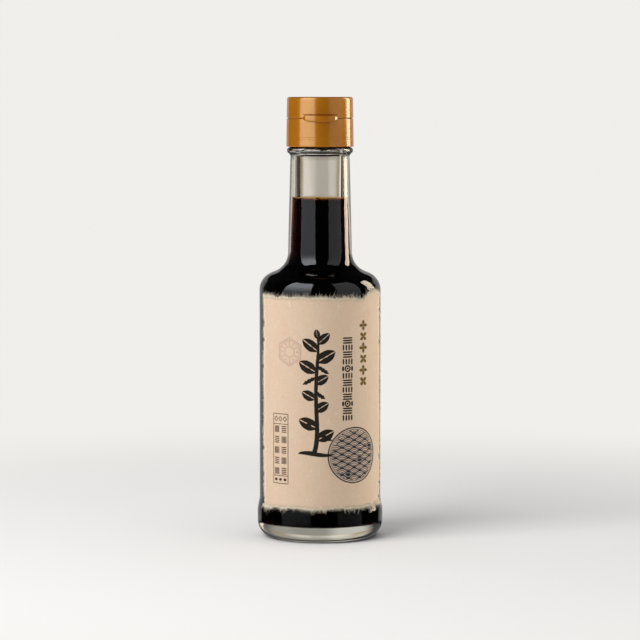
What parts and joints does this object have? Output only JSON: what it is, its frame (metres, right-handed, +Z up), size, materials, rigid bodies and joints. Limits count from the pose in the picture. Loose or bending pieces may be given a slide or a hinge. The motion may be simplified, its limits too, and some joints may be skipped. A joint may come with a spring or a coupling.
{
  "type": "soy sauce bottle",
  "caption": "Clear glass soy sauce bottle with a slim neck, dark sauce, a torn-edge paper label and a gold flip-top cap hinged at the back.",
  "frame": {"origin": "middle of the ring that the bottle stands on, at the bottom of the heel", "axes": "+Z up along the bottle, the label and the thumb tab face -Y, the lid's hinge is at +Y"},
  "size_m": [0.0538, 0.0538, 0.189],
  "materials": {
    "clear_glass": "clear polished glass",
    "soy_sauce": "dark soy sauce, nearly black, red-brown where thin",
    "label_paper": "cream fibrous paper with torn white edges, matt",
    "gold_plastic": "satin metallic gold",
    "natural_plastic": "milky natural plastic"
  },
  "bodies": {
    "bottle": {"glass_bottle": "clear_glass", "soy_sauce": "soy_sauce", "paper_label": "label_paper", "cap_base": "gold_plastic", "tear_ring": "natural_plastic"},
    "lid": {"cap_lid": "gold_plastic"}
  },
  "joints": [
    {"name": "lid_hinge", "type": "hinge", "parent": "bottle", "child": "lid", "pos_m": [0, 0.0154, 0.1799], "axis": [-1, 0, 0], "range_deg": [0, 150]}
  ]
}
